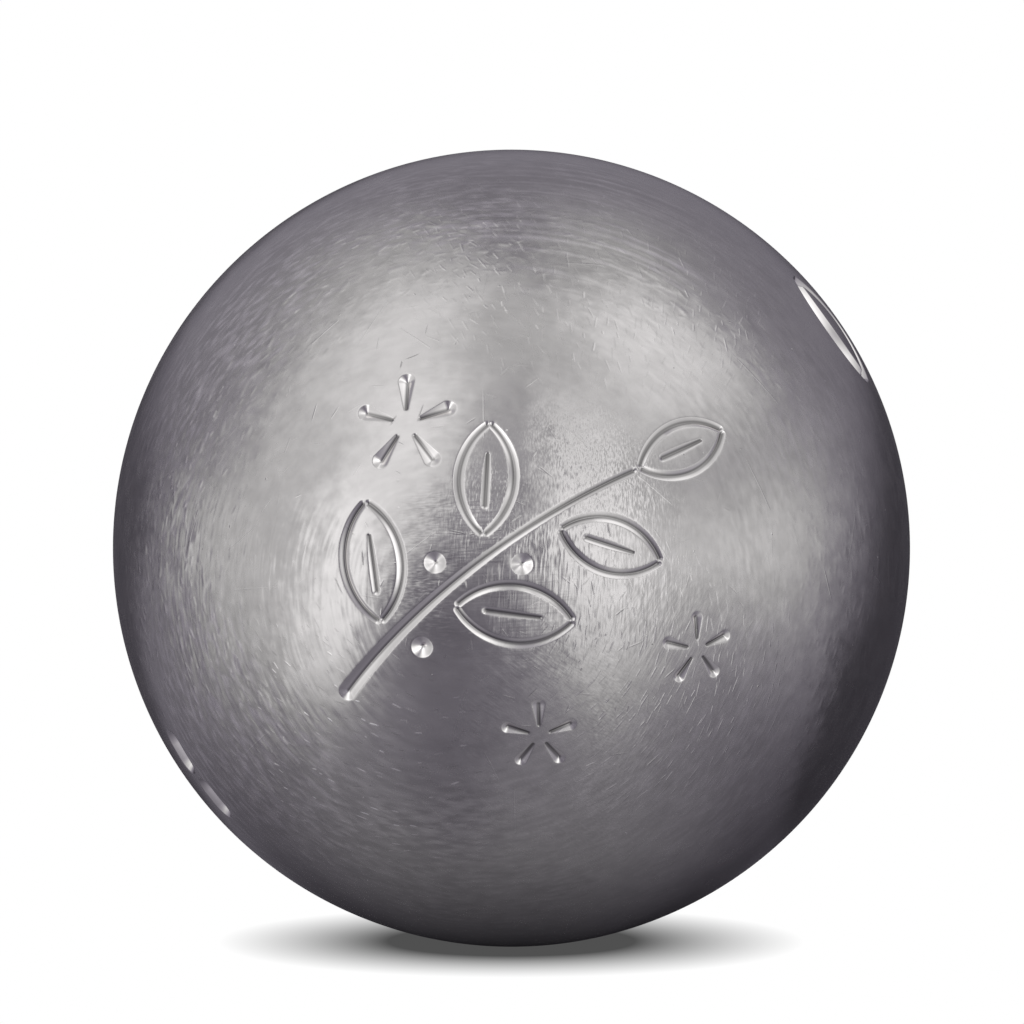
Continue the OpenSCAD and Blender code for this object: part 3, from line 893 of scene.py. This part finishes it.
def tent_light(u):
    """Light of the tent seen from the ball in the direction u: a dim gradient, and for each panel a product
    of two pairs of soft edges 1 / (1 + exp(-distance inside the edge / softness))."""
    azimuth = np.degrees(np.arctan2(u[..., 0], -u[..., 1]))
    height = np.degrees(np.arcsin(np.clip(u[..., 2], -1, 1)))
    level, rise, front, right, poles = DIM
    light = level + rise * u[..., 2] - front * u[..., 1] + right * u[..., 0] + poles * u[..., 2] ** 2
    for middle, up, wide, tall, soft, bright in PANELS:
        off = np.abs((azimuth - middle + 180) % 360 - 180)
        edges = (wide - off, tall - np.abs(height - up))
        light = light + bright / ((1 + np.exp(-edges[0] / soft)) * (1 + np.exp(-edges[1] / soft)))
    light = np.maximum(light, LEAST_LIGHT)[..., None]
    lit = np.clip((light - DIM_LIGHT) / LIT_STEP, 0, 1)
    return light * (lit * PANEL_TINT + (1 - lit) * DIM_TINT)


def hidden_share(points, r, flat=1):
    """The share of the sky that a ball resting on a floor hides from points of that floor, from which the
    floor's and the card's painted shadows are made: the power -3/2 of 1 + (x x + y y flat flat) / (r r). The
    number flat is 1 for an even sky, and more squeezes the painted shadow so that it is less deep than wide."""
    return (1 + (points[:, 0] ** 2 + (points[:, 1] * flat) ** 2) / r ** 2) ** -1.5


def white_to_view(w, white, other):
    """Shows white to rays from the camera and to rays that metal or glass sends on, and other to the rest."""
    path = w.new("ShaderNodeLightPath").outputs
    seen = w.number("MAXIMUM", path["Is Camera Ray"],
                    w.number("MAXIMUM", path["Is Glossy Ray"], path["Is Transmission Ray"]))
    return w.new("ShaderNodeMixShader", {0: seen, 1: other, 2: white}).outputs[0]


def add_stage_mesh(name, points, rows, material, attributes):
    """A mesh of the studio: a grid of points in rows, each of them a closed ring."""
    faces = bands(np.arange(len(points)).reshape(rows, SPOKES_ROUND))
    obj = add_mesh(name, points, [faces], attributes)
    obj.data.materials.append(material)
    return obj


def floor_material(studio):
    """A white glowing floor with the ball's shadow painted into it: it darkens where the ball hides the light
    from it, by the share that the floor's points hold."""
    material = bpy.data.materials.new("white_floor")
    w = cleared(material)
    # The painted shadow: the hidden share of sky ramped to the floor's brightness
    shade = w.ramp(w.held("hidden"), *FLOOR_SHADE, False)
    tint = w.scaled(tuple(studio.floor_colour), shade)
    white = w.new("ShaderNodeEmission", {"Color": tint, "Strength": 1.0}).outputs[0]
    other = w.new("ShaderNodeBsdfDiffuse", {"Color": FLOOR_GREY}).outputs[0]
    w.new("ShaderNodeOutputMaterial", {"Surface": white_to_view(w, white, other)})
    return material


def tent_material(studio):
    """Gives out the light that the tent's points hold."""
    material = bpy.data.materials.new("light_tent")
    w = cleared(material)
    given = {"Color": w.held("light", "Color"), "Strength": studio.tent_strength}
    w.new("ShaderNodeOutputMaterial", {"Surface": w.new("ShaderNodeEmission", given).outputs[0]})
    material.cycles.emission_sampling = "NONE"
    return material


# Operators

class BOULE_OT_engraved_shell(bpy.types.Operator):
    """Make the engraved half shell"""
    bl_idname = "boule.engraved_shell"
    bl_label = "Engraved half shell"

    def execute(self, context):
        s = context.scene
        shape = engraved_shell_shape(s.boule_ball, s.boule_engraving)
        add_piece("engraved_half", "engraved_shell", "shell_steel", shell_steel(s), *shape)
        return {"FINISHED"}


class BOULE_OT_plain_shell(bpy.types.Operator):
    """Make the plain half shell"""
    bl_idname = "boule.plain_shell"
    bl_label = "Plain half shell"

    def execute(self, context):
        s = context.scene
        shape = plain_shell_shape(s.boule_ball)
        add_piece("plain_half", "plain_shell", "shell_steel", shell_steel(s), *shape)
        return {"FINISHED"}


class BOULE_OT_weld(bpy.types.Operator):
    """Make the ground weld between the half shells"""
    bl_idname = "boule.weld"
    bl_label = "Weld"

    def execute(self, context):
        s = context.scene
        material = satin_steel("ground_weld_steel", s.boule_finish.weld_colour, s.boule_finish, WELD_TONE)
        add_piece("ground_weld", "weld_bead", "weld_steel", material, *weld_shape(s.boule_ball))
        return {"FINISHED"}


class BOULE_OT_studio(bpy.types.Operator):
    """Make the floor, the light tent, the world and the camera"""
    bl_idname = "boule.studio"
    bl_label = "Studio"

    def execute(self, context):
        studio, r = context.scene.boule_studio, context.scene.boule_ball.ball_d / 2
        self.floor_and_tent(studio, r)
        self.world(context)
        self.camera(context, studio)
        return {"FINISHED"}

    def floor_and_tent(self, studio, r):
        """The floor with its painted shadow, a dim glowing card just over it, whose light holds a painted
        shadow of the ball as well, and the tent. Only mirrored rays see the card and the tent."""
        far = studio.tent_r
        disc = circle(SPOKES_ROUND)
        level = 0 * disc[..., :1]
        rings = np.geomspace(SECOND_RING, FLOOR_REACH * far, RINGS - 1)
        steps = np.concatenate(((HAIR,), rings))[:, None, None]
        floor = np.concatenate((disc * steps, level * steps - r), -1).reshape(-1, 3)
        # The share of sky that the ball hides, from which the floor's shadow is painted
        hidden = {"hidden": hidden_share(floor, r, SHADOW_FLAT)}
        add_stage_mesh("floor", floor, RINGS, floor_material(studio), hidden)
        ground = floor + np.array((0, 0, HAIR))
        height = np.linspace(TENT_LOW, pi / 2 - HAIR, TENT_ROWS)[:, None, None]
        dome = far * np.concatenate((disc * np.cos(height), np.sin(height) + level), -1).reshape(-1, 3)
        tent = tent_material(studio)
        # The card's light is darkened by a painted shadow of the ball, where the ball hides the sky from it
        painted_card_shadow = 1 - hidden_share(ground, r)[:, None]
        for name, points, rows, shade in (("dark_ground_card", ground, RINGS, painted_card_shadow),
                                          ("light_tent", dome, TENT_ROWS, 1)):
            card = add_stage_mesh(name, points, rows, tent, {"light": tent_light(unit(points)) * shade})
            card.visible_camera = card.visible_diffuse = card.visible_transmission = False
            card.visible_shadow = card.visible_volume_scatter = False

    def world(self, context):
        """White to look at, with a plain grey light for everything else."""
        world = bpy.data.worlds.new("white_world")
        w = cleared(world)
        white, other = (w.new("ShaderNodeBackground", {"Color": WHITE, "Strength": strength}).outputs[0]
                        for strength in (1.0, WORLD_LIGHT))
        w.new("ShaderNodeOutputWorld", {"Surface": white_to_view(w, white, other)})
        context.scene.world = world

    def camera(self, context, studio):
        """A long lens, as in the photograph. It aims a little above the centre, so the ball sits low."""
        lens = bpy.data.cameras.new("camera")
        lens.sensor_width = SENSOR
        lens.lens = SENSOR / 2 / tan(studio.field / 2)
        camera = bpy.data.objects.new("camera", lens)
        context.scene.collection.objects.link(camera)
        high, far = studio.camera_height, studio.camera_distance
        back = Vector((0, -cos(high), sin(high)))
        up = Vector((0, sin(high), cos(high)))
        aim = up * far * tan(studio.camera_tilt) + Vector((AIM_RIGHT, 0, 0))
        camera.location = back * far
        camera.rotation_euler = (aim - camera.location).to_track_quat("-Z", "Y").to_euler()
        context.scene.camera = camera
        context.scene.view_settings.view_transform = "Standard"


class BOULE_PT_panel(bpy.types.Panel):
    """Lists the sizes and the pieces"""
    bl_idname = "BOULE_PT_panel"
    bl_label = "Petanque boule"
    bl_space_type = "VIEW_3D"
    bl_region_type = "UI"
    bl_category = "Boule"

    def draw(self, context):
        for operator in OPERATORS:
            self.layout.operator(operator.bl_idname)
        for key, group in GROUPS.items():
            box = self.layout.box()
            box.label(text=group.__doc__)
            for name in group.__annotations__:
                box.prop(getattr(context.scene, key), name)


OPERATORS = (BOULE_OT_engraved_shell, BOULE_OT_plain_shell, BOULE_OT_weld, BOULE_OT_studio)
CLASSES = (*GROUPS.values(), *OPERATORS, BOULE_PT_panel)


def register():
    for each in CLASSES:
        bpy.utils.register_class(each)
    for key, group in GROUPS.items():
        setattr(bpy.types.Scene, key, PointerProperty(type=group))


def unregister():
    for key in GROUPS:
        delattr(bpy.types.Scene, key)
    for each in reversed(CLASSES):
        bpy.utils.unregister_class(each)


def main():
    register()
    bpy.ops.boule.engraved_shell()
    bpy.ops.boule.plain_shell()
    bpy.ops.boule.weld()
    bpy.ops.boule.studio()


if __name__ == "__main__":
    main()
